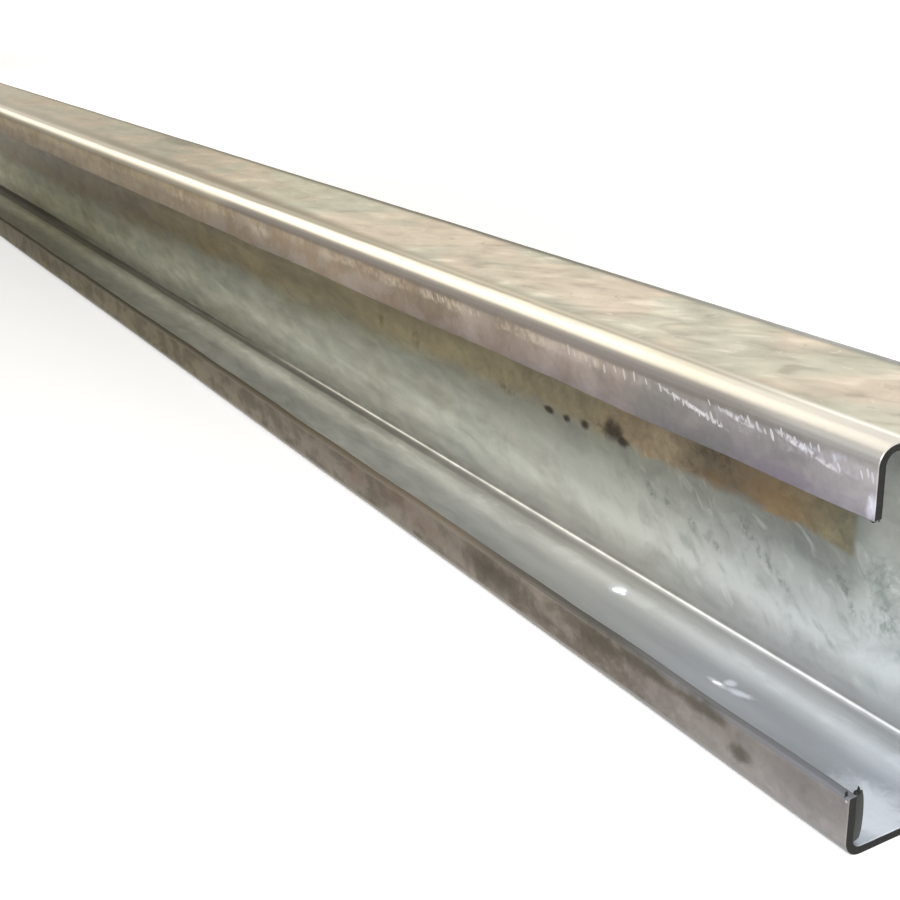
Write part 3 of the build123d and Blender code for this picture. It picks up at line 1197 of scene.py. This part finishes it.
def buildFloor():
    half = floor["size"] / 2
    level = low.z - floor["drop"]
    mesh = bpy.data.meshes.new("floor")
    corners = [(-half, -half, level), (half, -half, level), (half, half, level), (-half, half, level)]
    mesh.from_pydata(corners, [], [(0, 1, 2, 3)])
    material, tree, shader = newMaterial("paleFloor")
    shader.inputs["Base Color"].default_value = srgb(*floor["colour"])
    shader.inputs["Roughness"].default_value = floor["roughness"]
    shader.inputs["Specular IOR Level"].default_value = 0.0
    rays = tree.nodes.new("ShaderNodeLightPath")
    seen = maths(tree, "ADD", rays.outputs["Is Camera Ray"], rays.outputs["Is Glossy Ray"])
    seen = maths(tree, "ADD", seen, rays.outputs["Is Transmission Ray"], clamp=True)
    shader.inputs["Emission Color"].default_value = (1, 1, 1, 1)
    split = tree.nodes.new("ShaderNodeSeparateXYZ")
    tree.links.new(tree.nodes.new("ShaderNodeTexCoord").outputs["Object"], split.inputs[0])
    past = maths(tree, "SUBTRACT", maths(tree, "ABSOLUTE", split.outputs["X"]), stockLength / 2)
    past = maths(tree, "MAXIMUM", past, 0.0)
    away = maths(tree, "ADD", times(tree, past, past), times(tree, split.outputs["Y"], split.outputs["Y"]))
    further = span(tree, maths(tree, "SQRT", away), *floor["farSpan"])
    glow = maths(tree, "MULTIPLY_ADD", further, floor["farGlow"] - floor["nearGlow"], floor["nearGlow"])
    tree.links.new(times(tree, seen, glow), shader.inputs["Emission Strength"])
    mesh.materials.append(material)
    piece = bpy.data.objects.new("floor", mesh)
    bpy.context.collection.objects.link(piece)


sky = dict(
    dim=(0.125, 0.119, 0.108),
    strip=(2.3, 2.16, 1.86),  # long soft panel over the stock, towards its far end
    backLean=(1.3, 0.8), frontSide=(-0.44, -0.20), lowest=(0.01, 0.05), nearest=(-0.35, -0.6),
)


def buildSky():
    world = bpy.data.worlds.new("studio")
    bpy.context.scene.world = world
    world.use_nodes = True
    tree = world.node_tree
    background = tree.nodes["Background"]
    where = tree.nodes.new("ShaderNodeTexCoord").outputs["Generated"]
    split = tree.nodes.new("ShaderNodeSeparateXYZ")
    tree.links.new(where, split.inputs[0])
    ahead, aside, rise = split.outputs
    lean = maths(tree, "DIVIDE", aside, maths(tree, "MAXIMUM", rise, 0.01))
    panel = maths(tree, "MULTIPLY", span(tree, lean, *sky["backLean"]), span(tree, aside, *sky["frontSide"]))
    panel = maths(tree, "MULTIPLY", panel, span(tree, rise, *sky["lowest"]))
    panel = maths(tree, "MULTIPLY", panel, span(tree, ahead, *sky["nearest"]))
    light = mixColour(tree, panel, (*sky["dim"], 1), (*sky["strip"], 1))
    rays = tree.nodes.new("ShaderNodeLightPath")
    seen = maths(tree, "ADD", rays.outputs["Is Camera Ray"], rays.outputs["Is Transmission Ray"], clamp=True)
    tree.links.new(mixColour(tree, seen, light, (1, 1, 1, 1)), background.inputs["Color"])


lamps = dict(
    # places are metres from the middle of the near end, on the floor; panels are width and height
    key=dict(
        at=(0.80, -0.82, 0.86), aim=(0, -0.03, 0.10), panel=(0.12, 0.60), watts=34, colour=(1.0, 0.99, 0.98),
    ),
    backFill=dict(
        at=(-1.5, 2.4, 0.9), aim=(-1.5, 0, 0.06), panel=(3.0, 0.8), watts=24, colour=(1.0, 0.99, 0.97),
    ),
    farFill=dict(
        at=(-2.25, -1.7, 1.0), aim=(-2.25, 0, 0.06), panel=(0.6, 0.3), watts=9, colour=(1.0, 0.99, 0.97),
        spread=62,
    ),
)


def buildLamps():
    origin = Vector((nearEnd, (low.y + high.y) / 2, low.z))
    for name, lamp in lamps.items():
        light = bpy.data.lights.new(name, "AREA")
        light.shape = "RECTANGLE"
        light.size, light.size_y = lamp["panel"]
        light.energy = lamp["watts"]
        light.color = lamp["colour"]
        light.spread = math.radians(lamp.get("spread", 180))
        holder = bpy.data.objects.new(name, light)
        holder.location = origin + Vector(lamp["at"])
        facing = Vector(lamp["aim"]) - Vector(lamp["at"])
        holder.rotation_euler = facing.to_track_quat("-Z", "Y").to_euler()
        bpy.context.collection.objects.link(holder)


viewpoint = dict(
    place=(1.7133, -0.2663, 0.2357), heading=150.93, down=20.60, roll=1.82,  # metres and degrees
    lens=53.97, sensor=36.0, clipStart=0.01,
)


def buildCamera():
    heading, down, roll = (math.radians(viewpoint[name]) for name in ("heading", "down", "roll"))
    ahead = Vector((math.cos(heading) * math.cos(down), math.sin(heading) * math.cos(down), -math.sin(down)))
    right = Vector((math.sin(heading), -math.cos(heading), 0.0))
    below = ahead.cross(right)
    tilted = right * math.cos(roll) + below * math.sin(roll)
    upright = tilted.cross(ahead)
    lens = bpy.data.cameras.new("camera")
    lens.sensor_width = viewpoint["sensor"]
    lens.lens = viewpoint["lens"]
    lens.clip_start = viewpoint["clipStart"]
    holder = bpy.data.objects.new("camera", lens)
    turn = Matrix((tilted, upright, -ahead)).transposed().to_4x4()
    holder.matrix_world = Matrix.Translation(viewpoint["place"]) @ turn
    bpy.context.collection.objects.link(holder)
    bpy.context.scene.camera = holder


buildFloor()
buildSky()
buildLamps()
buildCamera()
bpy.context.scene.view_settings.view_transform = "Standard"
print("floor, light and camera set")
